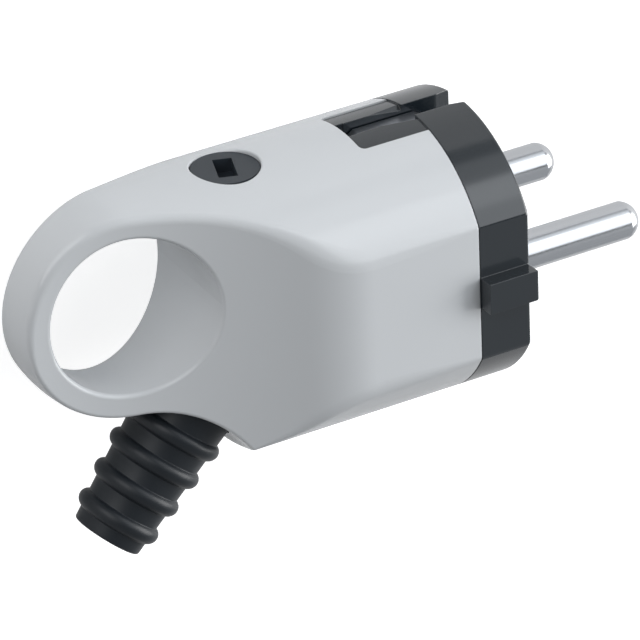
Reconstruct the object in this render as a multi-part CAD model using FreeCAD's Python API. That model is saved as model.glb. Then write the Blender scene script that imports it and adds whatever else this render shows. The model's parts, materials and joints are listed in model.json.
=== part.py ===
import FreeCAD, Part
import math
import os

V = FreeCAD.Vector

# Earthed angled plug with a finger ring, lying on its side, in millimetres.
# X runs out along the contact pins, Y runs to the edge that carries the locking screw
# and Z is up, towards one flat side. The origin is the middle of the contact face.

# Round body that the band and the housing share
body_radius = 18.0
flat_half_width = 15.7
band_length = 6.9
band_edge_fillet = 0.4

# Guide rib on each flat of the band
rib_width = 4.0
rib_proud = 2.1

# Contact pins and their terminal blocks
pin_radius = 2.4
pin_pitch = 19.0
pin_length = 19.0
pin_neck_radius = 2.2
pin_dome_length = 1.9
pin_hole_clearance = 0.1
front_plate_thickness = 4.5
terminal_length = 10.0
terminal_height = 8.0
terminal_inner_reach = 3.7
terminal_side_gap = 0.5
terminal_clearance = 0.1
wire_hole_radius = 1.6
wire_hole_depth = 7.0
terminal_screw_radius = 1.75
terminal_screw_head_radius = 2.6
terminal_screw_head_height = 1.8
terminal_screw_inset = 3.4
terminal_screw_lift = 1.0
terminal_screw_room = 8.0

# Housing: finger ring, swept sides, rounded edges and wall
housing_wall = 2.0
ring_centre_x = -47.8
ring_centre_y = 4.5
ring_wall = 3.15
finger_hole_draft = 2.2
finger_hole_fillet = 0.5
waist_x = -60.2
waist_half_thickness = 3.55
sweep_radius = 54.0
shoulder_radius = 13.0
mouth_ridge_fillet = 1.2
flat_ridge_fillet = 4.5
sweep_ridge_fillet = 2.4
ring_top_ridge_fillet = 1.3
ring_rear_ridge_fillet = 1.0
notch_fillet = 0.5
housing_mouth_fillet = 0.25
cavity_upper_rear_x = -37.5
cavity_lower_rear_x = -41.0

# Openings in the housing for the earth contacts
cutout_half_width = 4.9
cutout_length = 9.45
cutout_corner_radius = 0.8
tongue_clearance = 0.2
tongue_recess = 0.2

# Carrier behind the band
fit_clearance = 0.2
spigot_length = 3.0
core_half_height = 6.0
carrier_rear_x = -15.0
arm_half_width = 4.5
arm_thickness = 3.1
post_height = 5.0
post_front_reach = 4.4
post_rear_reach = 3.3
channel_width = 3.2
channel_mouth_flare = 0.4
channel_mouth_length = 2.0
channel_band_depth = 4.0
channel_bevel_depth = 0.7
channel_bevel_width = 0.9
channel_bevel_length = 5.0

# Earth bow and its terminal
bow_leg_depth = 2.2
bow_crest_rise = 0.9
bow_crest_rear_x = -13.8
bow_crest_front_x = -5.4
bow_ramp_length = 1.4
bow_nose_length = 1.2
bow_nose_drop = 0.5
bow_thickness = 0.8
bow_width = 2.8
bow_bend_radius = 1.2
bow_pad_half_width = 3.2
bow_slot_clearance = 0.3
retaining_plate_thickness = 1.6
retaining_plate_side_gap = 0.7
retaining_plate_half_height = 5.8
retaining_plate_corner_radius = 1.5
earth_screw_radius = 1.75
earth_screw_head_radius = 2.8
earth_screw_head_height = 2.2
earth_screw_length = 7.0
earth_washer_side = 6.4
earth_washer_thickness = 0.9
earth_nut_side = 5.6
earth_nut_thickness = 2.4
screw_hole_clearance = 0.15
drive_slot_width = 0.8
drive_slot_depth = 0.9

# Locking screw, its recess, captive ring and insert
lock_x = -32.1
lock_head_radius = 4.15
lock_recess_clearance = 0.12
lock_recess_fillet = 0.2
lock_sink = 0.5
lock_head_thickness = 2.4
lock_shank_radius = 2.0
lock_shank_length = 7.7
lock_boss_radius = 6.2
lock_boss_thickness = 2.5
drive_pocket_length = 4.7
drive_pocket_width = 2.3
drive_pocket_depth = 1.8
drive_pocket_turn = -20.0
captive_ring_outer_radius = 3.3
captive_ring_thickness = 0.6
captive_ring_gap = 1.2
captive_ring_play = 0.1
captive_groove_depth = 0.3
insert_radius = 2.6
insert_length = 4.0
insert_knurls = 16
insert_knurl_radius = 0.25
thread_clearance = 0.05
post_gap = 0.4

# Bend relief boot, its axis and the notch that it leaves the housing from
notch_centre_y = -23.7
notch_crown = 0.35
notch_crown_reach = 7.0
boot_x = -38.71
boot_angle = 50.2
boot_length = 18.74
boot_root_radius = 5.87
boot_tip_radius = 4.45
boot_bore_radius = 3.6
boot_rib_count = 4
boot_first_rib = 3.64
boot_rib_pitch = 4.1
boot_rib_proud = 0.75
boot_rib_half_width = 1.25
boot_end_fillet = 0.5
boot_seat_depth = 1.8
boot_seat_clearance = 0.15
boot_neck_radius = 4.5
boot_neck_length = 1.8
boot_flange_radius = 5.2
boot_flange_thickness = 1.6
boot_boss_radius = 7.5

# Cable clamp inside the housing, set along the axis of the boot
clamp_distance = 15.86
clamp_length = 5.0
cable_radius = 3.3
clamp_seat_drop = 2.2
clamp_arch_wall = 1.2
clamp_head_gap = 0.1
clamp_ear_edge = 2.1
clamp_grip_height = 0.6
clamp_grip_width = 0.7
clamp_grip_spacing = 2.4
clamp_screw_radius = 1.5
clamp_screw_head_radius = 2.1
clamp_screw_head_height = 1.7
clamp_screw_length = 7.6
clamp_nut_side = 4.0
clamp_nut_thickness = 2.0
clamp_nut_depth = 2.6
pedestal_length = 6.0
pedestal_height = 5.8
lower_arm_bottom_y = -12.0
lower_arm_thickness = 3.0

# Values that follow from the ones above
X_AXIS = V(1, 0, 0)
Y_AXIS = V(0, 1, 0)
Z_AXIS = V(0, 0, 1)
FAR = 80.0
OVERCUT = 1.0
TOLERANCE = 0.01
SHARP_TURN = math.radians(12)
CROWN_STEPS = 4
housing_front_x = -band_length
ring_centre = V(ring_centre_x, ring_centre_y, 0)
ring_radius = body_radius - ring_centre_y
ring_low_y = ring_centre_y - ring_radius
finger_hole_radius = ring_radius - ring_wall
notch_centre = V(ring_centre_x, notch_centre_y, 0)
notch_radius = ring_low_y - notch_centre_y
inner_radius = body_radius - housing_wall
inner_flat = flat_half_width - housing_wall
boot_in = V(math.cos(math.radians(boot_angle)), math.sin(math.radians(boot_angle)), 0)
boot_y = notch_centre_y + math.sqrt(notch_radius ** 2 - (boot_x - ring_centre_x) ** 2)
boot_origin = V(boot_x, boot_y, 0)
cutout_rear_x = housing_front_x - cutout_length
tongue_half_width = cutout_half_width - tongue_clearance
tongue_rear_x = cutout_rear_x + tongue_clearance
bow_face_y = body_radius - bow_leg_depth
bow_seat_y = bow_face_y - bow_thickness
bow_back_x = carrier_rear_x - retaining_plate_thickness
earth_washer_x = bow_back_x - bow_thickness
terminal_front_x = -front_plate_thickness
terminal_rear_x = terminal_front_x - terminal_length
terminal_near_z = pin_pitch / 2 - terminal_inner_reach
terminal_far_z = inner_flat - terminal_side_gap
retaining_plate_half_width = inner_flat - retaining_plate_side_gap
lock_top_y = body_radius - lock_sink
lock_seat_y = lock_top_y - lock_head_thickness
lock_boss_end_y = lock_seat_y - lock_boss_thickness
captive_ring_y = lock_boss_end_y - captive_ring_play - captive_ring_thickness
post_top_y = captive_ring_y - post_gap
clamp_arch_inner = cable_radius + fit_clearance
clamp_screw_offset = clamp_arch_inner + clamp_arch_wall + clamp_head_gap + clamp_screw_head_radius
clamp_half_width = clamp_screw_offset + clamp_ear_edge


def box(x0, x1, y0, y1, z0, z1):
    return Part.makeBox(x1 - x0, y1 - y0, z1 - z0, V(x0, y0, z0))


def slab(x0, x1, y0, y1, half_width):
    """Box that is even about the middle plane."""
    return box(x0, x1, y0, y1, -half_width, half_width)


def rod(start, direction, radius, length):
    return Part.makeCylinder(radius, length, start, direction)


def prism(points, half_width):
    """Outline in X and Y, drawn out evenly about the middle plane."""
    corners = [V(x, y, -half_width) for x, y in points]
    face = Part.Face(Part.makePolygon(corners + corners[:1]))
    return face.extrude(V(0, 0, 2 * half_width))


def fuse(solids):
    return solids[0].fuse(solids[1:]).removeSplitter()


def arc_edge(start, middle, end):
    return Part.Arc(start, middle, end).toShape()


def on_boot(shape):
    """Move a shape drawn along X onto the axis of the boot, with X pointing into the housing."""
    shape.rotate(V(0, 0, 0), Z_AXIS, boot_angle)
    shape.translate(boot_origin)
    return shape


def both_edges(shape):
    """The shape and its copy at the opposite edge of the round body."""
    return [shape, shape.rotated(V(0, 0, 0), X_AXIS, 180)]


def body_section(radius, flat, x0, x1):
    """Round bar with two flats."""
    bar = rod(V(x0, 0, 0), X_AXIS, radius, x1 - x0)
    return bar.common(slab(x0, x1, -FAR, FAR, flat))


def drive_slot(head_radius):
    """Screwdriver slot, drawn across a head whose top is at the origin and faces Y."""
    return slab(-head_radius, head_radius, -drive_slot_depth, OVERCUT, drive_slot_width / 2)


def slotted_screw(radius, length, head_radius, head_height):
    """Cheese head screw along Y, with the underside of its head at the origin."""
    shank = rod(V(0, -length, 0), Y_AXIS, radius, length)
    head = rod(V(0, 0, 0), Y_AXIS, head_radius, head_height)
    slot = drive_slot(head_radius)
    slot.translate(V(0, head_height, 0))
    return shank.fuse(head).cut(slot).removeSplitter()


def square_nut(side, thickness, bore):
    """Nut with its bore along Y and its top at the origin."""
    nut = slab(-side / 2, side / 2, -thickness, 0, side / 2)
    return nut.cut(rod(V(0, -thickness, 0), Y_AXIS, bore, thickness))


def sharp_edges(shape, wanted):
    """Edges that turn by more than a few degrees and that the caller wants."""
    chosen = []
    for edge in shape.Edges:
        if edge.Degenerated or not wanted(edge.BoundBox):
            continue
        faces = shape.ancestorsOfType(edge, Part.Face)
        if len(faces) != 2:
            continue
        at = edge.valueAt((edge.FirstParameter + edge.LastParameter) / 2)
        first, second = [face.normalAt(*face.Surface.parameter(at)) for face in faces]
        if first.getAngle(second) > SHARP_TURN:
            chosen.append(edge)
    return chosen


def side_outline(inset):
    """Half outline of the housing seen from its crowned edge: flat, shoulder, sweep and waist."""
    flat = flat_half_width - inset
    waist = waist_half_thickness - inset
    shoulder = shoulder_radius - inset
    sweep = sweep_radius + inset
    rise = waist + sweep - (flat - shoulder)
    reach = math.sqrt((sweep + shoulder) ** 2 - rise ** 2)
    sweep_centre = V(waist_x, 0, waist + sweep)
    shoulder_centre = V(waist_x + reach, 0, flat - shoulder)
    upright = math.pi / 2
    turn = math.atan2(rise, -reach)

    def on_shoulder(angle):
        return shoulder_centre + V(math.cos(angle), 0, math.sin(angle)) * shoulder

    def on_sweep(angle):
        return sweep_centre + V(math.cos(angle), 0, math.sin(angle)) * sweep

    return [
        Part.makeLine(V(0, 0, flat), on_shoulder(upright)),
        arc_edge(on_shoulder(upright), on_shoulder((upright + turn) / 2), on_shoulder(turn)),
        arc_edge(on_sweep(turn - math.pi), on_sweep((turn - math.pi - upright) / 2), on_sweep(-upright)),
        Part.makeLine(V(waist_x, 0, waist), V(-FAR, 0, waist)),
    ]


def between_sides(inset):
    """Solid between the two swept sides, taller than the housing."""
    upper = side_outline(inset)
    lower = [edge.mirror(V(0, 0, 0), Z_AXIS) for edge in upper]
    waist = waist_half_thickness - inset
    flat = flat_half_width - inset
    rear = Part.makeLine(V(-FAR, 0, waist), V(-FAR, 0, -waist))
    front = Part.makeLine(V(0, 0, flat), V(0, 0, -flat))
    face = Part.Face(Part.Wire(Part.__sortEdges__(upper + lower + [rear, front])))
    face.translate(V(0, -FAR, 0))
    return face.extrude(V(0, 2 * FAR, 0))


def upper_crown():
    """Edge across the top of the ring, where the crown of the round body runs into it."""
    rim_y = math.sqrt(body_radius ** 2 - notch_crown_reach ** 2)
    start = V(ring_centre_x, rim_y, -notch_crown_reach)
    end = V(ring_centre_x, rim_y, notch_crown_reach)
    return Part.Arc(start, V(ring_centre_x, body_radius, 0), end).toBSpline().toShape()


def lower_crown():
    """Edge across the foot of the ring, with the slighter crown that the notch shares."""
    points = []
    for step in range(-CROWN_STEPS, CROWN_STEPS + 1):
        share = step / CROWN_STEPS
        rise = notch_crown * (1 - math.cos(math.pi * share)) / 2
        points.append(V(ring_centre_x, ring_low_y + rise, notch_crown_reach * share))
    crown = Part.BSplineCurve()
    crown.interpolate(Points=points, InitialTangent=Z_AXIS, FinalTangent=Z_AXIS)
    return crown.toShape()


def section_to(crown, inner_y, half_width):
    """Closed outline between a crown, the stretches beside it and a straight line at this height."""
    start = crown.valueAt(crown.FirstParameter)
    end = crown.valueAt(crown.LastParameter)
    corners = [V(start.x, end.y, half_width), V(start.x, inner_y, half_width),
               V(start.x, inner_y, -half_width), V(start.x, start.y, -half_width)]
    line = [end] + corners + [start]
    sides = [Part.makeLine(a, b) for a, b in zip(line, line[1:]) if a.distanceToPoint(b) > TOLERANCE]
    return Part.Wire([crown] + sides)


def ring_end():
    """Rear of the housing: the crown of the round body led around the finger hole as it fades."""
    around = arc_edge(V(ring_centre_x, body_radius, 0), ring_centre - X_AXIS * ring_radius,
                      V(ring_centre_x, ring_low_y, 0))
    inner = finger_hole_radius / 2
    sweep = Part.BRepOffsetAPI.MakePipeShell(Part.Wire([around]))
    sweep.setBiNormalMode(Z_AXIS)
    sweep.add(section_to(upper_crown(), ring_centre_y + inner, notch_crown_reach), False, False)
    sweep.add(section_to(lower_crown(), ring_centre_y - inner, notch_crown_reach), False, False)
    sweep.build()
    sweep.makeSolid()
    return sweep.shape()


def notch():
    """Hollow in the underside, led on from the foot of the ring."""
    section = section_to(lower_crown(), notch_centre_y, flat_half_width)
    return Part.Face(section).revolve(notch_centre, Z_AXIS, -180)


def finger_hole():
    """Opening of the ring, drafted so that it is slightly wider towards the lower side."""
    spread = FAR * math.tan(math.radians(finger_hole_draft))
    start = ring_centre - Z_AXIS * FAR
    return Part.makeCone(finger_hole_radius + spread, finger_hole_radius - spread, 2 * FAR, start, Z_AXIS)


def rounding_at(point):
    """Radius of the rounded edges at this end of an edge: soft by the flats, slight at the notch."""
    if V(point.x, point.y, 0).distanceToPoint(ring_centre) < ring_radius - ring_wall / 2:
        return finger_hole_fillet
    if point.y < ring_centre_y and point.x < ring_centre_x + notch_radius + notch_fillet:
        return notch_fillet
    shoulder = side_outline(0)[1].BoundBox
    stops = [
        (housing_front_x, mouth_ridge_fillet),
        (shoulder.XMax, flat_ridge_fillet),
        (shoulder.XMin, sweep_ridge_fillet),
        (ring_centre_x, ring_top_ridge_fillet),
        (waist_x, ring_rear_ridge_fillet),
    ]
    return min(stops, key=lambda stop: abs(stop[0] - point.x))[1]


def way_round(point):
    """Angle about the finger hole, which grows all the way from the upper ridges to the lower ones."""
    return math.atan2(point.y - ring_centre_y, point.x - ring_centre_x) % (2 * math.pi)


def round_ridges(body):
    """Round every sharp edge behind the mouth of the housing, with a radius that changes on the way."""
    ridges = sharp_edges(body, lambda room: room.XMin < housing_front_x - TOLERANCE)
    fillets = []
    for number, edge in enumerate(body.Edges, 1):
        if any(edge.isSame(ridge) for ridge in ridges):
            first, last = edge.valueAt(edge.FirstParameter), edge.valueAt(edge.LastParameter)
            radii = [rounding_at(end) for end in sorted([first, last], key=way_round)]
            fillets.append((way_round(first) > way_round(last), number, *radii))
    # Joined edges are rounded the way of the one given first, so those that run onward come first
    fillets = [fillet[1:] for fillet in sorted(fillets)]
    bench = FreeCAD.newDocument("rounding")
    sharp = bench.addObject("Part::Feature", "sharp")
    sharp.Shape = body
    rounded = bench.addObject("Part::Fillet", "rounded")
    rounded.Base = sharp
    rounded.Edges = fillets
    bench.recompute()
    smooth = rounded.Shape.copy()
    FreeCAD.closeDocument(bench.Name)
    return smooth


def housing_body():
    """Outside of the housing with all its rounded edges and the finger hole, still solid."""
    trunk = body_section(body_radius, flat_half_width, ring_centre_x, housing_front_x).cut(notch())
    body = trunk.fuse(ring_end()).common(between_sides(0)).cut(finger_hole()).removeSplitter()
    body = round_ridges(body)
    mouth = sharp_edges(body, lambda room: room.XMin > housing_front_x - TOLERANCE)
    return body.makeFillet(housing_mouth_fillet, mouth)


def housing_cavity():
    """Room inside the housing, clear of the walls of the finger hole and the notch."""
    room = body_section(inner_radius, inner_flat, cavity_lower_rear_x, housing_front_x)
    room = room.common(between_sides(housing_wall))
    walls = [
        rod(ring_centre - Z_AXIS * FAR, Z_AXIS, finger_hole_radius + housing_wall, 2 * FAR),
        rod(notch_centre - Z_AXIS * FAR, Z_AXIS, notch_radius + notch_crown + housing_wall, 2 * FAR),
        slab(-FAR, cavity_upper_rear_x, ring_centre_y, FAR, FAR),
        rod(V(lock_x, lock_boss_end_y, 0), Y_AXIS, lock_boss_radius, FAR),
        on_boot(rod(V(-OVERCUT, 0, 0), X_AXIS, boot_boss_radius,
                    OVERCUT + boot_seat_depth + boot_neck_length)),
    ]
    return room.cut(walls)


def earth_cutout():
    """Rounded slot from the mouth of the housing, over one earth contact."""
    slot = slab(cutout_rear_x, housing_front_x + OVERCUT, core_half_height, FAR, cutout_half_width)
    corners = [edge for edge in slot.Edges if edge.BoundBox.XMax < cutout_rear_x + TOLERANCE]
    corners = [edge for edge in corners if edge.BoundBox.YLength > TOLERANCE]
    return slot.makeFillet(cutout_corner_radius, corners)


def lock_recess(body):
    """Sink the recess for the locking screw and round its rim."""
    radius = lock_head_radius + lock_recess_clearance
    body = body.cut(rod(V(lock_x, lock_seat_y, 0), Y_AXIS, radius, FAR))
    rim = sharp_edges(body, lambda room: room.YMin > lock_seat_y + lock_sink
                      and abs(room.Center.x - lock_x) < radius and room.XLength < 2.1 * radius)
    return body.makeFillet(lock_recess_fillet, rim)


def housing():
    body = lock_recess(housing_body().cut(housing_cavity()))
    body = body.cut(both_edges(earth_cutout()))
    lock_hole = rod(V(lock_x, 0, 0), Y_AXIS, lock_shank_radius + screw_hole_clearance, FAR)
    seat_radius = boot_root_radius + boot_seat_clearance
    boot_seat = on_boot(rod(V(-boot_seat_depth, 0, 0), X_AXIS, seat_radius, 2 * boot_seat_depth))
    neck_end = boot_seat_depth + boot_neck_length
    boot_hole = on_boot(rod(V(0, 0, 0), X_AXIS, boot_neck_radius + boot_seat_clearance, neck_end + OVERCUT))
    return body.cut([lock_hole, boot_seat, boot_hole])


def band():
    """Front ring of the carrier with the guide rib on each flat."""
    disc = body_section(body_radius, flat_half_width, -band_length, 0)
    ridges = sharp_edges(disc, lambda room: room.XLength > band_length / 2)
    disc = disc.makeFillet(mouth_ridge_fillet, ridges)
    front = [edge for edge in disc.Edges if edge.BoundBox.XMin > -TOLERANCE]
    disc = disc.makeFillet(band_edge_fillet, front)
    rib = slab(-band_length, 0, -rib_width / 2, rib_width / 2, flat_half_width + rib_proud)
    rib = rib.cut(slab(-band_length, 0, -rib_width, rib_width, flat_half_width / 2))
    ends = sharp_edges(rib, lambda room: room.XLength < TOLERANCE and room.XMin > -TOLERANCE)
    return disc.fuse(rib.makeFillet(band_edge_fillet, ends))


def earth_channel():
    """Groove along one edge of the carrier that leads an earth spring onto the bow."""
    half = channel_width / 2
    groove = slab(tongue_rear_x - OVERCUT, 0, bow_seat_y, FAR, half)
    deep = slab(-band_length, 0, body_radius - channel_band_depth, FAR, half)
    mouth = [
        V(-channel_mouth_length, 0, half),
        V(0, 0, half + channel_mouth_flare),
        V(0, 0, -half - channel_mouth_flare),
        V(-channel_mouth_length, 0, -half),
    ]
    flare = Part.Face(Part.makePolygon(mouth + mouth[:1])).extrude(V(0, FAR, 0))
    flare.translate(V(0, body_radius - channel_band_depth, 0))
    return fuse([groove, deep, flare])


def channel_bevel():
    """Lead-in on both edges of the channel in the tongue, running out towards the rear."""
    low_y = body_radius - tongue_recess - channel_bevel_depth
    high_y = low_y + 2 * channel_bevel_depth
    half = channel_width / 2
    corners = [
        V(-band_length, low_y, half),
        V(-band_length, high_y, half + 2 * channel_bevel_width),
        V(-band_length, high_y, -half - 2 * channel_bevel_width),
        V(-band_length, low_y, -half),
    ]
    slope = V(-channel_bevel_length, channel_bevel_depth, 0)
    return Part.Face(Part.makePolygon(corners + corners[:1])).extrude(slope)


def tongue():
    """Part of the carrier that fills the opening in the housing beside the earth channel."""
    bar = body_section(body_radius - tongue_recess, flat_half_width, tongue_rear_x, -band_length)
    block = slab(tongue_rear_x, -band_length, core_half_height, FAR, tongue_half_width)
    corners = [edge for edge in block.Edges if edge.BoundBox.XMax < tongue_rear_x + TOLERANCE]
    corners = [edge for edge in corners if edge.BoundBox.YLength > TOLERANCE]
    return bar.common(block.makeFillet(cutout_corner_radius - tongue_clearance, corners))


def terminal_pocket(side):
    """Room for one terminal block, open to the rear, to the side and over its screw."""
    near = terminal_near_z - terminal_clearance
    low = -terminal_height / 2 - terminal_clearance
    pocket = box(carrier_rear_x - OVERCUT, terminal_front_x, low, -low, near, inner_flat)
    screw_front_x = terminal_rear_x + terminal_screw_inset + terminal_screw_head_radius + fit_clearance
    over = box(carrier_rear_x - OVERCUT, screw_front_x, low, terminal_screw_room, near, inner_flat)
    shaft = rod(V(-band_length, 0, pin_pitch / 2), X_AXIS, pin_radius + pin_hole_clearance, FAR)
    pocket = fuse([pocket, over, shaft])
    return pocket if side > 0 else pocket.mirror(V(0, 0, 0), Z_AXIS)


def upper_arm():
    """Arm that reaches back under the locking screw, with the post for its insert."""
    arm = slab(lock_x, tongue_rear_x, post_top_y - arm_thickness, post_top_y, arm_half_width)
    post = slab(lock_x - post_rear_reach, lock_x + post_front_reach, post_top_y - post_height, post_top_y,
                arm_half_width)
    ring_room = rod(ring_centre - Z_AXIS * FAR, Z_AXIS, finger_hole_radius + housing_wall + fit_clearance,
                    2 * FAR)
    return arm.fuse(post).cut(ring_room)


def pedestal():
    """Inclined seat for the cable clamp, standing on the lower arm."""
    start = clamp_distance - pedestal_length / 2
    end = clamp_distance + pedestal_length / 2
    seat = -clamp_seat_drop
    foot = seat - pedestal_height
    block = on_boot(slab(start, end, foot, seat, clamp_half_width))
    across = V(-boot_in.y, boot_in.x, 0)
    rear = boot_origin + boot_in * start + across * foot
    front = boot_origin + boot_in * end + across * foot
    web = prism([
        (rear.x, rear.y),
        (front.x, front.y),
        (front.x, lower_arm_bottom_y),
        (rear.x, lower_arm_bottom_y),
    ], clamp_half_width)
    arm_top_y = lower_arm_bottom_y + lower_arm_thickness
    arm = slab(rear.x, -band_length, lower_arm_bottom_y, arm_top_y, clamp_half_width)
    cradle = on_boot(rod(V(0, 0, 0), X_AXIS, cable_radius, FAR))
    return fuse([block, web, arm]).cut(cradle)


def clamp_fixings():
    """Holes and side slots for the two clamp screws and their nuts."""
    cuts = []
    nut_top = -clamp_seat_drop - clamp_nut_depth
    half = clamp_nut_side / 2 + fit_clearance / 2
    for side in (1, -1):
        z = side * clamp_screw_offset
        hole = rod(V(clamp_distance, -FAR, z), Y_AXIS, clamp_screw_radius + screw_hole_clearance, FAR)
        z_in = side * (clamp_screw_offset - half)
        z_out = side * (clamp_half_width + OVERCUT)
        slot_bottom = nut_top - clamp_nut_thickness - fit_clearance
        slot = box(clamp_distance - half, clamp_distance + half, slot_bottom, nut_top, min(z_in, z_out),
                   max(z_in, z_out))
        reach = clamp_screw_length + screw_hole_clearance
        hole = hole.common(slab(0, FAR, -reach, 0, FAR))
        cuts += [on_boot(hole), on_boot(slot)]
    return cuts


def bow_slot():
    """Gap in both arms where the back of the earth bow passes."""
    half = bow_width / 2 + bow_slot_clearance
    return slab(earth_washer_x - bow_slot_clearance, carrier_rear_x, -FAR, FAR, half)


def pin_carrier():
    spigot = body_section(inner_radius - fit_clearance, inner_flat - fit_clearance,
                          -band_length - spigot_length, -band_length)
    core = slab(carrier_rear_x, -band_length, -core_half_height, core_half_height,
                inner_flat - fit_clearance)
    body = fuse([band(), spigot, core] + both_edges(tongue()) + [upper_arm(), pedestal()])
    nut_room = earth_nut_side / 2 + thread_clearance
    cuts = both_edges(earth_channel()) + both_edges(channel_bevel())
    cuts += [
        terminal_pocket(1),
        terminal_pocket(-1),
        bow_slot(),
        slab(carrier_rear_x - OVERCUT, carrier_rear_x + earth_nut_thickness, -nut_room, nut_room, nut_room),
        rod(V(carrier_rear_x, 0, 0), X_AXIS, earth_screw_radius + screw_hole_clearance, earth_screw_length),
        rod(V(lock_x, post_top_y - insert_length, 0), Y_AXIS, insert_radius, insert_length),
        rod(V(lock_x, 0, 0), Y_AXIS, lock_shank_radius + screw_hole_clearance, post_top_y),
    ]
    return body.cut(cuts + clamp_fixings()).removeSplitter()


def contact_pin(side):
    """Round pin with a domed end and a neck in the front plate, in one piece with its terminal block."""
    z = side * pin_pitch / 2
    neck = rod(V(terminal_front_x, 0, z), X_AXIS, pin_neck_radius, front_plate_thickness)
    shaft = rod(V(0, 0, z), X_AXIS, pin_radius, pin_length - pin_dome_length)
    ball_radius = (pin_radius ** 2 + pin_dome_length ** 2) / (2 * pin_dome_length)
    ball = Part.makeSphere(ball_radius, V(pin_length - ball_radius, 0, z))
    tip = rod(V(pin_length - pin_dome_length, 0, z), X_AXIS, pin_radius, pin_dome_length).common(ball)
    low_z, high_z = sorted([side * terminal_near_z, side * terminal_far_z])
    block = box(terminal_rear_x, terminal_front_x, -terminal_height / 2, terminal_height / 2, low_z, high_z)
    wire_hole = rod(V(terminal_rear_x, 0, z), X_AXIS, wire_hole_radius, wire_hole_depth)
    screw_x = terminal_rear_x + terminal_screw_inset
    screw_hole = rod(V(screw_x, 0, z), Y_AXIS, terminal_screw_radius + thread_clearance, terminal_height)
    return fuse([neck, shaft, tip, block]).cut([wire_hole, screw_hole])


def terminal_screw(side):
    """Screw of one terminal, backed off so that a wire can enter."""
    length = terminal_height / 2 + terminal_screw_lift - wire_hole_radius
    screw = slotted_screw(terminal_screw_radius, length, terminal_screw_head_radius,
                          terminal_screw_head_height)
    lift = terminal_height / 2 + terminal_screw_lift
    screw.translate(V(terminal_rear_x + terminal_screw_inset, lift, side * pin_pitch / 2))
    return screw


def retaining_plate():
    """Plate behind the terminal blocks, with a hole for each wire."""
    half_height = retaining_plate_half_height
    plate = slab(bow_back_x, carrier_rear_x, -half_height, half_height, retaining_plate_half_width)
    corners = [edge for edge in plate.Edges if edge.BoundBox.XLength > retaining_plate_thickness / 2]
    plate = plate.makeFillet(retaining_plate_corner_radius, corners)
    holes = [rod(V(bow_back_x, 0, 0), X_AXIS, earth_screw_radius + screw_hole_clearance, FAR)]
    for side in (1, -1):
        start = V(bow_back_x, 0, side * pin_pitch / 2)
        holes.append(rod(start, X_AXIS, wire_hole_radius + fit_clearance, FAR))
    return plate.cut(holes)


def bow_leg(lowered):
    """Upper leg of the bow from its nose to the bend: ramp, raised crest and nose, or its underside."""
    crest_y = bow_face_y + bow_crest_rise - lowered
    return [
        (bow_crest_front_x + bow_nose_length, crest_y - bow_nose_drop),
        (bow_crest_front_x, crest_y),
        (bow_crest_rear_x, crest_y),
        (bow_crest_rear_x - bow_ramp_length, bow_face_y - lowered),
    ]


def earth_bow():
    """Sprung strip bent to a U, whose raised legs are the two earth contacts."""
    outer_x = earth_washer_x
    outside = bow_leg(0) + [(outer_x, bow_face_y)]
    inside = bow_leg(bow_thickness) + [(bow_back_x, bow_seat_y)]
    outside += [(x, -y) for x, y in reversed(outside)]
    inside += [(x, -y) for x, y in reversed(inside)]
    strip = prism(outside + inside[::-1], bow_width / 2)

    def bends(x, y):
        return [edge for edge in strip.Edges
                if edge.BoundBox.ZLength > bow_width / 2 and abs(edge.BoundBox.XMin - x) < TOLERANCE
                and abs(abs(edge.BoundBox.YMin) - y) < TOLERANCE]

    strip = strip.makeFillet(bow_bend_radius + bow_thickness, bends(outer_x, bow_face_y))
    strip = strip.makeFillet(bow_bend_radius, bends(bow_back_x, bow_seat_y))
    pad = slab(outer_x, bow_back_x, -bow_pad_half_width, bow_pad_half_width, bow_pad_half_width)
    hole = rod(V(outer_x, 0, 0), X_AXIS, earth_screw_radius + screw_hole_clearance, bow_thickness)
    return strip.fuse(pad).cut(hole).removeSplitter()


def earth_washer():
    """Square washer that presses the earth wire on the bow."""
    half = earth_washer_side / 2
    plate = slab(earth_washer_x - earth_washer_thickness, earth_washer_x, -half, half, half)
    return plate.cut(rod(V(-FAR, 0, 0), X_AXIS, earth_screw_radius + screw_hole_clearance, FAR))


def earth_screw():
    screw = slotted_screw(earth_screw_radius, earth_screw_length, earth_screw_head_radius,
                          earth_screw_head_height)
    screw.rotate(V(0, 0, 0), Z_AXIS, 90)
    screw.translate(V(earth_washer_x - earth_washer_thickness, 0, 0))
    return screw


def earth_nut():
    nut = square_nut(earth_nut_side, earth_nut_thickness, earth_screw_radius + thread_clearance)
    nut.rotate(V(0, 0, 0), Z_AXIS, 90)
    nut.translate(V(carrier_rear_x, 0, 0))
    return nut


def locking_screw():
    """Flush screw with a rectangular drive pocket that holds housing and carrier together."""
    head = rod(V(0, lock_seat_y, 0), Y_AXIS, lock_head_radius, lock_head_thickness)
    shank = rod(V(0, lock_seat_y - lock_shank_length, 0), Y_AXIS, lock_shank_radius, lock_shank_length)
    pocket = slab(-drive_pocket_width / 2, drive_pocket_width / 2, lock_top_y - drive_pocket_depth, FAR,
                  drive_pocket_length / 2)
    pocket.rotate(V(0, 0, 0), Y_AXIS, drive_pocket_turn)
    groove_low = captive_ring_y - captive_ring_play
    groove_height = captive_ring_thickness + 2 * captive_ring_play
    groove = rod(V(0, groove_low, 0), Y_AXIS, lock_shank_radius + OVERCUT, groove_height)
    groove_core = rod(V(0, groove_low, 0), Y_AXIS, lock_shank_radius - captive_groove_depth, groove_height)
    screw = head.fuse(shank).cut([pocket, groove.cut(groove_core)]).removeSplitter()
    screw.translate(V(lock_x, 0, 0))
    return screw


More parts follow.
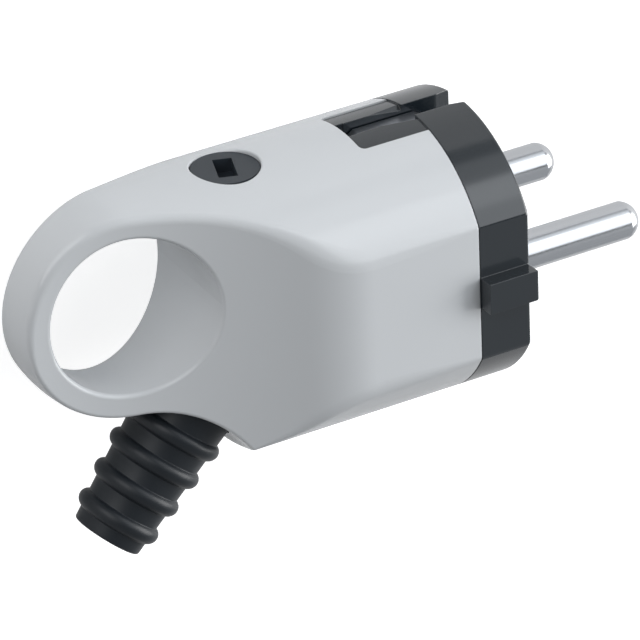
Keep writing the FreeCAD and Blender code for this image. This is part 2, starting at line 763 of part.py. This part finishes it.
def captive_ring():
    """Split ring that keeps the locking screw in the housing."""
    start = V(lock_x, captive_ring_y, 0)
    bore = lock_shank_radius - captive_groove_depth + thread_clearance
    ring = rod(start, Y_AXIS, captive_ring_outer_radius, captive_ring_thickness)
    gap = slab(lock_x, lock_x + captive_ring_outer_radius, 0, FAR, captive_ring_gap / 2)
    return ring.cut([rod(start, Y_AXIS, bore, captive_ring_thickness), gap])


def locking_insert():
    """Knurled insert in the carrier that the locking screw turns into."""
    start = V(lock_x, post_top_y - insert_length, 0)
    insert = rod(start, Y_AXIS, insert_radius, insert_length)
    cuts = [rod(start, Y_AXIS, lock_shank_radius + thread_clearance, insert_length)]
    for step in range(insert_knurls):
        angle = 2 * math.pi * step / insert_knurls
        around = V(math.cos(angle), 0, math.sin(angle)) * insert_radius
        cuts.append(rod(start + around, Y_AXIS, insert_knurl_radius, insert_length))
    return insert.cut(cuts)


def boot_radius_at(distance):
    """Radius of the boot between its ribs, at this distance outside the housing."""
    taper = (boot_root_radius - boot_tip_radius) / boot_length
    return boot_root_radius - taper * distance


def boot_rib(index):
    distance = boot_first_rib + index * boot_rib_pitch
    crest = V(-distance, boot_radius_at(distance) + boot_rib_proud, 0)
    outer = V(-distance - boot_rib_half_width, boot_radius_at(distance + boot_rib_half_width), 0)
    inner = V(-distance + boot_rib_half_width, boot_radius_at(distance - boot_rib_half_width), 0)
    outer_foot = V(outer.x, boot_bore_radius, 0)
    inner_foot = V(inner.x, boot_bore_radius, 0)
    wire = Part.Wire([
        Part.makeLine(outer_foot, outer),
        arc_edge(outer, crest, inner),
        Part.makeLine(inner, inner_foot),
        Part.makeLine(inner_foot, outer_foot),
    ])
    return Part.Face(wire).revolve(V(0, 0, 0), X_AXIS, 360)


def boot():
    """Ribbed rubber sleeve, held in the housing by its neck and inner flange."""
    neck_end = boot_seat_depth + boot_neck_length
    outline = [
        (-boot_length, boot_bore_radius),
        (-boot_length, boot_tip_radius),
        (0, boot_root_radius),
        (boot_seat_depth, boot_root_radius),
        (boot_seat_depth, boot_neck_radius),
        (neck_end, boot_neck_radius),
        (neck_end, boot_flange_radius),
        (neck_end + boot_flange_thickness, boot_flange_radius),
        (neck_end + boot_flange_thickness, boot_bore_radius),
    ]
    points = [V(x, y, 0) for x, y in outline]
    sleeve = Part.Face(Part.makePolygon(points + points[:1])).revolve(V(0, 0, 0), X_AXIS, 360)
    tip = [edge for edge in sleeve.Edges if edge.BoundBox.XMax < TOLERANCE - boot_length]
    tip = [edge for edge in tip if edge.BoundBox.YMax > boot_tip_radius - TOLERANCE]
    sleeve = sleeve.makeFillet(boot_end_fillet, tip)
    ribs = [boot_rib(index) for index in range(boot_rib_count)]
    return on_boot(fuse([sleeve] + ribs))


def cable_clamp():
    """Saddle that presses the cable into the cradle of the carrier."""
    start = clamp_distance - clamp_length / 2
    end = clamp_distance + clamp_length / 2
    ears = slab(start, end, -clamp_seat_drop, 0, clamp_half_width)
    arch = rod(V(start, 0, 0), X_AXIS, clamp_arch_inner + clamp_arch_wall, clamp_length)
    arch = arch.common(slab(start, end, -clamp_seat_drop, FAR, FAR))
    saddle = ears.fuse(arch).cut(rod(V(start, 0, 0), X_AXIS, clamp_arch_inner, clamp_length))
    grips = []
    for side in (1, -1):
        middle = clamp_distance + side * clamp_grip_spacing / 2
        grip = rod(V(middle - clamp_grip_width / 2, 0, 0), X_AXIS, clamp_arch_inner + clamp_grip_height / 2,
                   clamp_grip_width)
        grip = grip.cut(rod(V(start, 0, 0), X_AXIS, clamp_arch_inner - clamp_grip_height / 2, clamp_length))
        grips.append(grip.common(slab(start, end, clamp_arch_inner / 2, FAR, FAR)))
    saddle = fuse([saddle] + grips)
    holes = []
    for side in (1, -1):
        base = V(clamp_distance, -FAR, side * clamp_screw_offset)
        holes.append(rod(base, Y_AXIS, clamp_screw_radius + screw_hole_clearance, 2 * FAR))
    return on_boot(saddle.cut(holes))


def clamp_screw(side):
    screw = slotted_screw(clamp_screw_radius, clamp_screw_length, clamp_screw_head_radius,
                          clamp_screw_head_height)
    screw.translate(V(clamp_distance, 0, side * clamp_screw_offset))
    return on_boot(screw)


def clamp_nut(side):
    nut = square_nut(clamp_nut_side, clamp_nut_thickness, clamp_screw_radius + thread_clearance)
    nut.translate(V(clamp_distance, -clamp_seat_drop - clamp_nut_depth, side * clamp_screw_offset))
    return on_boot(nut)


pieces = {
    "housing": housing(),
    "pin_carrier": pin_carrier(),
    "contact_pin_left": contact_pin(-1),
    "contact_pin_right": contact_pin(1),
    "terminal_screw_left": terminal_screw(-1),
    "terminal_screw_right": terminal_screw(1),
    "retaining_plate": retaining_plate(),
    "earth_bow": earth_bow(),
    "earth_washer": earth_washer(),
    "earth_screw": earth_screw(),
    "earth_nut": earth_nut(),
    "locking_screw": locking_screw(),
    "captive_ring": captive_ring(),
    "locking_insert": locking_insert(),
    "boot": boot(),
    "cable_clamp": cable_clamp(),
    "clamp_screw_left": clamp_screw(-1),
    "clamp_screw_right": clamp_screw(1),
    "clamp_nut_left": clamp_nut(-1),
    "clamp_nut_right": clamp_nut(1),
}

os.makedirs("parts", exist_ok=True)
for name, shape in pieces.items():
    shape.exportStep("parts/" + name + ".step")
    print(name, shape.isValid(), len(shape.Solids), round(shape.Volume, 1))
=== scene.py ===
import json
import math

import bpy
from mathutils import Matrix, Vector


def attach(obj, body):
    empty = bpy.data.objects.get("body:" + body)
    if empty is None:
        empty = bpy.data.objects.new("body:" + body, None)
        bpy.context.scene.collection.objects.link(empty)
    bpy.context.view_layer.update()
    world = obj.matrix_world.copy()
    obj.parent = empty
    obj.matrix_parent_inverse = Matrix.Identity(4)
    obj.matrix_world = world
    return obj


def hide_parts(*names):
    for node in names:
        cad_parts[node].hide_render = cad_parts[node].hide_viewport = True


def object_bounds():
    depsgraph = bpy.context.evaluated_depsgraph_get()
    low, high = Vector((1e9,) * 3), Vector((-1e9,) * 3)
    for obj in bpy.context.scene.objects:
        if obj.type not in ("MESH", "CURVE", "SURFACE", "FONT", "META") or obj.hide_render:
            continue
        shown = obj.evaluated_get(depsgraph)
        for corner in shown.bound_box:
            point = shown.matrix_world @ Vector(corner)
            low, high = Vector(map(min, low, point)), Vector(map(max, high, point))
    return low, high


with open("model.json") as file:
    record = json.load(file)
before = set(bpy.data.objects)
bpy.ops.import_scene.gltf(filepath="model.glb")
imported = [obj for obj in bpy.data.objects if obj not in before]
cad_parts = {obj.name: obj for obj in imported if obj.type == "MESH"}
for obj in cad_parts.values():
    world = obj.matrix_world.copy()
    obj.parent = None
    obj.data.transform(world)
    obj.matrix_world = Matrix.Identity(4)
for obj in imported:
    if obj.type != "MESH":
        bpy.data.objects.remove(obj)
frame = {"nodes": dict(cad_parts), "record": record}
cad_low, cad_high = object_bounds()

MM = 0.001
FLOOR_Z = cad_low.z


# Finishes

# Part of a cloud pattern that is spread over the whole range of a colour or a number
PATTERN_START = 0.1
PATTERN_END = 0.9
BEVEL_SAMPLES = 6

# Moulded plastic
PIGMENT_SCALE = 70
POLISH_SCALE = 45
POLISH_CHANGE = (0.94, 1.06)
WAVE_SCALE = 60
WAVE_HEIGHT = 0.06 * MM
WAVE_STRENGTH = 0.10
GRAIN_SCALE = 2600
GRAIN_HEIGHT = 0.004 * MM
GRAIN_STRENGTH = 0.12

# Plated metal
LINE_HEIGHT = 0.005 * MM
LINE_STRENGTH = 0.2
PLATING_HAZE_SCALE = 300
PLATING_HAZE_CHANGE = (0.85, 1.2)

# Rubber
DUST_SCALE = 160
RUBBER_HAZE_SCALE = 300
RUBBER_HAZE_CHANGE = (0.9, 1.1)
PEBBLE_SCALE = 2600
PEBBLE_HEIGHT = 0.02 * MM
PEBBLE_STRENGTH = 0.2

# Pressed fibre
STRAND_SCALE = (900, 2600, 900)
STRAND_HEIGHT = 0.03 * MM
STRAND_STRENGTH = 0.4
FIBRE_ROUGHNESS = (0.6, 0.8)


def finish(name):
    """New material with its shader and the coordinates that patterns are placed by."""
    made = bpy.data.materials.new(name)
    made.use_nodes = True
    tree = made.node_tree
    place = tree.nodes.new("ShaderNodeTexCoord")
    return made, tree, tree.nodes["Principled BSDF"], place.outputs["Object"]


def stretched(tree, coordinates, scale):
    """Coordinates with a scale of their own along each axis, for patterns with a direction."""
    mapping = tree.nodes.new("ShaderNodeMapping")
    mapping.inputs["Scale"].default_value = scale
    tree.links.new(coordinates, mapping.inputs["Vector"])
    return mapping.outputs["Vector"]


def cloud(tree, coordinates, scale, detail, roughness=0.5):
    """Soft irregular pattern between 0 and 1."""
    noise = tree.nodes.new("ShaderNodeTexNoise")
    noise.inputs["Scale"].default_value = scale
    noise.inputs["Detail"].default_value = detail
    noise.inputs["Roughness"].default_value = roughness
    tree.links.new(coordinates, noise.inputs["Vector"])
    return noise.outputs["Fac"]


def between(tree, value, low, high):
    """Colour that runs from low to high."""
    ramp = tree.nodes.new("ShaderNodeValToRGB")
    ramp.color_ramp.elements[0].position = PATTERN_START
    ramp.color_ramp.elements[0].color = (*low, 1)
    ramp.color_ramp.elements[1].position = PATTERN_END
    ramp.color_ramp.elements[1].color = (*high, 1)
    tree.links.new(value, ramp.inputs["Fac"])
    return ramp.outputs["Color"]


def spread(tree, value, low, high):
    """Number that runs from low to high."""
    span = tree.nodes.new("ShaderNodeMapRange")
    span.inputs["From Min"].default_value = PATTERN_START
    span.inputs["From Max"].default_value = PATTERN_END
    span.inputs["To Min"].default_value = low
    span.inputs["To Max"].default_value = high
    tree.links.new(value, span.inputs["Value"])
    return span.outputs["Result"]


def varied(tree, pattern, middle, change):
    """Number that follows a pattern, from one share of its middle value to another."""
    least, most = change
    return spread(tree, pattern, middle * least, middle * most)


def eased_edges(tree, radius):
    """Surface direction with the sharp edges of a moulding or turning broken."""
    edges = tree.nodes.new("ShaderNodeBevel")
    edges.samples = BEVEL_SAMPLES
    edges.inputs["Radius"].default_value = radius
    return edges.outputs["Normal"]


def relief(tree, pattern, height, strength, below=None):
    """Surface direction where a pattern stands out from the surface below it."""
    bump = tree.nodes.new("ShaderNodeBump")
    bump.inputs["Distance"].default_value = height
    bump.inputs["Strength"].default_value = strength
    tree.links.new(pattern, bump.inputs["Height"])
    if below is not None:
        tree.links.new(below, bump.inputs["Normal"])
    return bump.outputs["Normal"]


def moulded_plastic(name, dark, light, roughness, specular, edge):
    """Smooth moulding: faint clouds of pigment, slow waves of the cooled skin and broken edges."""
    made, tree, shader, place = finish(name)
    pigment = cloud(tree, place, PIGMENT_SCALE, detail=2)
    polish = cloud(tree, place, POLISH_SCALE, detail=2)
    waves = cloud(tree, place, WAVE_SCALE, detail=1)
    grain = cloud(tree, place, GRAIN_SCALE, detail=2)
    skin = relief(tree, waves, WAVE_HEIGHT, WAVE_STRENGTH, eased_edges(tree, edge))
    skin = relief(tree, grain, GRAIN_HEIGHT, GRAIN_STRENGTH, skin)
    tree.links.new(between(tree, pigment, dark, light), shader.inputs["Base Color"])
    tree.links.new(varied(tree, polish, roughness, POLISH_CHANGE), shader.inputs["Roughness"])
    tree.links.new(skin, shader.inputs["Normal"])
    shader.inputs["Specular IOR Level"].default_value = specular
    return made


def plated_metal(name, dark, light, roughness, line_scale, edge):
    """Bright plating with fine lines, which run along the axis of the lowest scale."""
    made, tree, shader, place = finish(name)
    lines = cloud(tree, stretched(tree, place, line_scale), 1, detail=3, roughness=0.6)
    haze = cloud(tree, place, PLATING_HAZE_SCALE, detail=3)
    skin = relief(tree, lines, LINE_HEIGHT, LINE_STRENGTH, eased_edges(tree, edge))
    tree.links.new(between(tree, lines, dark, light), shader.inputs["Base Color"])
    tree.links.new(varied(tree, haze, roughness, PLATING_HAZE_CHANGE), shader.inputs["Roughness"])
    tree.links.new(skin, shader.inputs["Normal"])
    shader.inputs["Metallic"].default_value = 1.0
    return made


def rubber(name, dark, light, roughness, specular):
    """Moulded rubber: dusty pigment and a fine pebbled skin."""
    made, tree, shader, place = finish(name)
    dust = cloud(tree, place, DUST_SCALE, detail=4)
    haze = cloud(tree, place, RUBBER_HAZE_SCALE, detail=3)
    pebbles = cloud(tree, place, PEBBLE_SCALE, detail=3, roughness=0.6)
    skin = relief(tree, pebbles, PEBBLE_HEIGHT, PEBBLE_STRENGTH)
    tree.links.new(between(tree, dust, dark, light), shader.inputs["Base Color"])
    tree.links.new(varied(tree, haze, roughness, RUBBER_HAZE_CHANGE), shader.inputs["Roughness"])
    tree.links.new(skin, shader.inputs["Normal"])
    shader.inputs["Specular IOR Level"].default_value = specular
    return made


def pressed_fibre(name, dark, light):
    """Matt board with short strands."""
    made, tree, shader, place = finish(name)
    strands = cloud(tree, stretched(tree, place, STRAND_SCALE), 1, detail=5, roughness=0.65)
    skin = relief(tree, strands, STRAND_HEIGHT, STRAND_STRENGTH)
    tree.links.new(between(tree, strands, dark, light), shader.inputs["Base Color"])
    tree.links.new(spread(tree, strands, *FIBRE_ROUGHNESS), shader.inputs["Roughness"])
    tree.links.new(skin, shader.inputs["Normal"])
    return made


FINISHES = {
    "housing_plastic": moulded_plastic(
        "housing_grey_gloss", dark=(0.645, 0.664, 0.682), light=(0.66, 0.679, 0.697),
        roughness=0.16, specular=0.45, edge=0.12 * MM),
    "carrier_plastic": moulded_plastic(
        "carrier_anthracite_gloss", dark=(0.010, 0.0145, 0.019), light=(0.013, 0.018, 0.023),
        roughness=0.16, specular=0.85, edge=0.16 * MM),
    "plated_brass": plated_metal(
        "pin_nickel", dark=(0.52, 0.53, 0.55), light=(0.60, 0.61, 0.63),
        roughness=0.21, line_scale=(60, 4200, 4200), edge=0.1 * MM),
    "zinc_steel": plated_metal(
        "screw_zinc", dark=(0.52, 0.53, 0.54), light=(0.62, 0.63, 0.64),
        roughness=0.3, line_scale=(1800, 1800, 1800), edge=0.1 * MM),
    "fibre_plate": pressed_fibre(
        "plate_fibre", dark=(0.24, 0.18, 0.11), light=(0.34, 0.27, 0.18)),
    # The bow's colour is set far darker than the pin nickel: painted shade for the deep channel that
    # the bow lies in.
    "bow_metal": plated_metal(
        "bow_nickel_painted_shade", dark=(0.19, 0.20, 0.22), light=(0.25, 0.265, 0.285),
        roughness=0.3, line_scale=(60, 60, 1800), edge=0.1 * MM),
    "dark_screw": moulded_plastic(
        "screw_dark_satin", dark=(0.023, 0.030, 0.038), light=(0.028, 0.035, 0.044),
        roughness=0.4, specular=0.35, edge=0.08 * MM),
    "insert_brass": plated_metal(
        "insert_turned_brass", dark=(0.56, 0.40, 0.17), light=(0.66, 0.49, 0.23),
        roughness=0.28, line_scale=(3000, 300, 3000), edge=0.08 * MM),
    "boot_rubber": rubber(
        "boot_black_rubber", dark=(0.010, 0.013, 0.0165), light=(0.015, 0.0185, 0.023),
        roughness=0.42, specular=0.32),
}

for part in frame["record"]["subparts"]:
    node = frame["nodes"][part["node"]]
    for material_slot in node.material_slots:
        material_slot.material = FINISHES[part["material_slot"]]


# Bend relief boot: its origin is on the housing's notch, its axis points out of the housing,
# and its other values are millimetres along that axis and out from it

BOOT_ORIGIN = Vector((-38.71, -12.147, 0)) * MM
BOOT_OUT = Vector((-0.640110, -0.768284, 0))
BOOT_LENGTH = 18.68
BOOT_ROOT_RADIUS = 5.87
BOOT_TIP_RADIUS = 4.38
BOOT_BORE_RADIUS = 3.6

# Inside the housing
ROOT_START = -1.8
NECK_START = -3.6
NECK_RADIUS = 4.5
FLANGE_START = -5.2
FLANGE_RADIUS = 5.2

# Ribs
RIB_COUNT = 4
FIRST_RIB = 3.64
RIB_PITCH = 4.1
RIB_RISE = 0.8
RIB_HALF_WIDTH = 1.08
RIB_CREST_STEPS = 10
RIB_FOOT_RADIUS = 0.14
RIB_FOOT_STEPS = 5

# Open end
LIP_RADIUS = 0.3
LIP_STEPS = 6
BORE_EDGE_RADIUS = 0.15
BORE_EDGE_STEPS = 3

# Mesh
POINTS_AROUND = 96
SAME_RADIUS = 1e-6
MERGE_DISTANCE = 0.002 * MM
SMOOTH_BELOW = math.radians(35)


def sleeve_radius(distance):
    """Radius of the sleeve between its ribs."""
    return BOOT_ROOT_RADIUS - (BOOT_ROOT_RADIUS - BOOT_TIP_RADIUS) * distance / BOOT_LENGTH


def rib_section():
    """Rounded rib as offsets along the boot and heights over it, eased into the sleeve."""
    crest = (RIB_HALF_WIDTH ** 2 + RIB_RISE ** 2) / (2 * RIB_RISE)
    drop = crest - RIB_RISE
    reach = math.sqrt((crest + RIB_FOOT_RADIUS) ** 2 - (drop + RIB_FOOT_RADIUS) ** 2)
    meeting = math.asin(reach / (crest + RIB_FOOT_RADIUS))
    half = []
    for step in range(RIB_FOOT_STEPS):
        angle = meeting * step / RIB_FOOT_STEPS
        half.append((reach - RIB_FOOT_RADIUS * math.sin(angle),
                     RIB_FOOT_RADIUS * (1 - math.cos(angle))))
    for step in range(RIB_CREST_STEPS):
        angle = meeting * (1 - step / RIB_CREST_STEPS)
        half.append((crest * math.sin(angle), crest * math.cos(angle) - drop))
    return [(-along, height) for along, height in half] + [(0, RIB_RISE)] + half[::-1]


def quarter_turn(steps):
    """Angles of a rounding, from one of its ends to the other."""
    return [math.pi / 2 * step / steps for step in range(steps + 1)]


def boot_profile():
    """Distances along the boot and radii, all round the section of its wall."""
    points = [(ROOT_START, BOOT_ROOT_RADIUS), (0, BOOT_ROOT_RADIUS)]
    for rib in range(RIB_COUNT):
        middle = FIRST_RIB + RIB_PITCH * rib
        for along, height in rib_section():
            points.append((middle + along, sleeve_radius(middle + along) + height))
    lip_start = BOOT_LENGTH - LIP_RADIUS
    for angle in quarter_turn(LIP_STEPS):
        points.append((lip_start + LIP_RADIUS * math.sin(angle),
                       sleeve_radius(lip_start) - LIP_RADIUS * (1 - math.cos(angle))))
    for angle in quarter_turn(BORE_EDGE_STEPS):
        points.append((BOOT_LENGTH - BORE_EDGE_RADIUS * (1 - math.cos(angle)),
                       BOOT_BORE_RADIUS + BORE_EDGE_RADIUS * (1 - math.sin(angle))))
    return points + [
        (FLANGE_START, BOOT_BORE_RADIUS),
        (FLANGE_START, FLANGE_RADIUS),
        (NECK_START, FLANGE_RADIUS),
        (NECK_START, NECK_RADIUS),
        (ROOT_START, NECK_RADIUS),
    ]


def ribbed_boot():
    """Rubber sleeve drawn on ring by ring along its axis, in the place of the plain one."""
    bpy.ops.object.select_all(action="DESELECT")
    profile = boot_profile()
    along, radius = profile[0]
    bpy.ops.mesh.primitive_circle_add(
        vertices=POINTS_AROUND, radius=radius * MM,
        location=BOOT_ORIGIN + BOOT_OUT * along * MM,
        rotation=BOOT_OUT.to_track_quat("Z", "X").to_euler())
    boot = bpy.context.object
    boot.name = "boot_sleeve"
    bpy.ops.object.transform_apply(location=True, rotation=True, scale=True)
    bpy.ops.object.mode_set(mode="EDIT")
    bpy.ops.mesh.select_all(action="SELECT")
    for next_along, next_radius in profile[1:] + profile[:1]:
        step = BOOT_OUT * (next_along - along) * MM
        bpy.ops.mesh.extrude_region_move(TRANSFORM_OT_translate={"value": step})
        if abs(next_radius - radius) > SAME_RADIUS:
            bpy.ops.transform.resize(value=[next_radius / radius] * 3)
        along, radius = next_along, next_radius
    bpy.ops.mesh.select_all(action="SELECT")
    bpy.ops.mesh.remove_doubles(threshold=MERGE_DISTANCE)
    bpy.ops.mesh.normals_make_consistent(inside=False)
    bpy.ops.object.mode_set(mode="OBJECT")
    bpy.ops.object.shade_smooth_by_angle(angle=SMOOTH_BELOW)
    boot.data.materials.append(FINISHES["boot_rubber"])
    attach(boot, "root")
    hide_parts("boot")


# Floor, card and room

FLOOR_SIZE = 6
FLOOR_COLOUR = (0.84, 0.84, 0.84, 1)
FLOOR_ROUGHNESS = 0.7
GLOW_COLOUR = (1, 1, 1, 1)
CARD_PLACE = (0.30, -0.10, 0.80)
CARD_SIZE = (2.4, 0.15, 1)
CARD_COLOUR = (0.01, 0.01, 0.01, 1)
CARD_ROUGHNESS = 0.9
ROOM_COLOUR = (0.92, 0.96, 1.0, 1)

# Strengths for the light on the plug, for the camera and for reflections
FLOOR_GLOW = (0.0, 0.68, 0.05)
ROOM_GLOW = (0.09, 1.0, 0.5)


def by_ray(tree, plain, camera, glossy):
    """Strength that the camera and the reflections see differently from the light on the plug."""
    rays = tree.nodes.new("ShaderNodeLightPath")
    towards_camera = tree.nodes.new("ShaderNodeMath")
    towards_camera.operation = "MULTIPLY_ADD"
    towards_camera.inputs[1].default_value = camera - plain
    towards_camera.inputs[2].default_value = plain
    tree.links.new(rays.outputs["Is Camera Ray"], towards_camera.inputs[0])
    reflected = tree.nodes.new("ShaderNodeMath")
    reflected.operation = "MULTIPLY_ADD"
    reflected.inputs[1].default_value = glossy - plain
    tree.links.new(rays.outputs["Is Glossy Ray"], reflected.inputs[0])
    tree.links.new(towards_camera.outputs["Value"], reflected.inputs[2])
    return reflected.outputs["Value"]


def white_table():
    """Floor that the camera sees as white, apart from the shadow of the plug."""
    bpy.ops.object.select_all(action="DESELECT")
    bpy.ops.mesh.primitive_plane_add(size=FLOOR_SIZE, location=(0, 0, FLOOR_Z))
    floor = bpy.context.object
    floor.name = "floor"
    made = bpy.data.materials.new("floor_white")
    made.use_nodes = True
    made.cycles.emission_sampling = "NONE"
    tree = made.node_tree
    shader = tree.nodes["Principled BSDF"]
    shader.inputs["Base Color"].default_value = FLOOR_COLOUR
    shader.inputs["Roughness"].default_value = FLOOR_ROUGHNESS
    shader.inputs["Emission Color"].default_value = GLOW_COLOUR
    tree.links.new(by_ray(tree, *FLOOR_GLOW), shader.inputs["Emission Strength"])
    floor.data.materials.append(made)


def dark_card():
    """Narrow card that only reflections see: the fine dark lines on the pins and the band."""
    bpy.ops.object.select_all(action="DESELECT")
    bpy.ops.mesh.primitive_plane_add(size=1, location=CARD_PLACE)
    card = bpy.context.object
    card.name = "dark_card"
    card.scale = CARD_SIZE
    bpy.ops.object.transform_apply(location=True, rotation=True, scale=True)
    made = bpy.data.materials.new("card_black")
    made.use_nodes = True
    shader = made.node_tree.nodes["Principled BSDF"]
    shader.inputs["Base Color"].default_value = CARD_COLOUR
    shader.inputs["Roughness"].default_value = CARD_ROUGHNESS
    card.data.materials.append(made)
    card.visible_camera = False
    card.visible_diffuse = False
    card.visible_shadow = False


def surroundings():
    """Room that shows white behind the plug and adds a little light to it."""
    world = bpy.data.worlds.new("soft_white_room")
    bpy.context.scene.world = world
    world.use_nodes = True
    tree = world.node_tree
    background = tree.nodes["Background"]
    background.inputs["Color"].default_value = ROOM_COLOUR
    tree.links.new(by_ray(tree, *ROOM_GLOW), background.inputs["Strength"])


# Camera and soft lights

CAMERA_PLACE = (-0.34191, 0.34812, 0.56707)
CAMERA_ACROSS = Vector((0.85944, -0.0356, 0.50999))
CAMERA_BACK = Vector((-0.43355, 0.47787, 0.76399))
FOCAL_PIXELS = 6176.294
PHOTO_PIXELS = 640
SENSOR_WIDTH = 36
NEAREST = 0.05
FARTHEST = 20

PLUG_MIDDLE = Vector((-0.025, 0.0, 0.0))
PLUG_LENGTHWAYS = Vector((1, 0, 0))
PLAIN_WHITE = (1, 1, 1)
COOL_WHITE = (0.95, 0.99, 1.03)

# Name, place, width, height, power and colour
SOFT_LIGHTS = (
    ("pin_side_light", (0.875, 0, 0.42), 0.75, 0.75, 9.6, PLAIN_WHITE),
    ("pin_side_high_light", (0.475, 0.43, 0.74), 0.75, 0.98, 3.3, COOL_WHITE),
    ("pin_side_upper_light", (0.475, 0.76, 0.44), 0.75, 0.6, 0.8, COOL_WHITE),
    ("ring_side_light", (-0.645, 0.65, 0.42), 0.75, 0.75, 4.0, PLAIN_WHITE),
    ("ring_end_light", (-0.925, 0, 0.16), 0.75, 0.28, 0.45, PLAIN_WHITE),
)


def held(name, thing, place, across, back):
    """Camera or lamp at its place, with its width across and its back turned to the back direction."""
    holder = bpy.data.objects.new(name, thing)
    holder.matrix_world = Matrix((across, back.cross(across), back)).transposed().to_4x4()
    holder.matrix_world.translation = place
    bpy.context.scene.collection.objects.link(holder)
    return holder


def camera():
    """Camera at the place that the photo was taken from."""
    lens = bpy.data.cameras.new("camera")
    lens.sensor_width = SENSOR_WIDTH
    lens.lens = SENSOR_WIDTH * FOCAL_PIXELS / PHOTO_PIXELS
    lens.clip_start = NEAREST
    lens.clip_end = FARTHEST
    bpy.context.scene.camera = held("camera", lens, CAMERA_PLACE, CAMERA_ACROSS, CAMERA_BACK)


def soft_light(name, place, width, height, power, colour):
    """Rectangular lamp that faces the middle of the plug, its width turned to lie lengthways."""
    lamp = bpy.data.lights.new(name, "AREA")
    lamp.shape = "RECTANGLE"
    lamp.size = width
    lamp.size_y = height
    lamp.energy = power
    lamp.color = colour
    back = (Vector(place) - PLUG_MIDDLE).normalized()
    across = (PLUG_LENGTHWAYS - back * back.dot(PLUG_LENGTHWAYS)).normalized()
    held(name, lamp, place, across, back)


ribbed_boot()
white_table()
dark_card()
surroundings()
camera()
for light in SOFT_LIGHTS:
    soft_light(*light)

bpy.context.scene.view_settings.view_transform = "Standard"
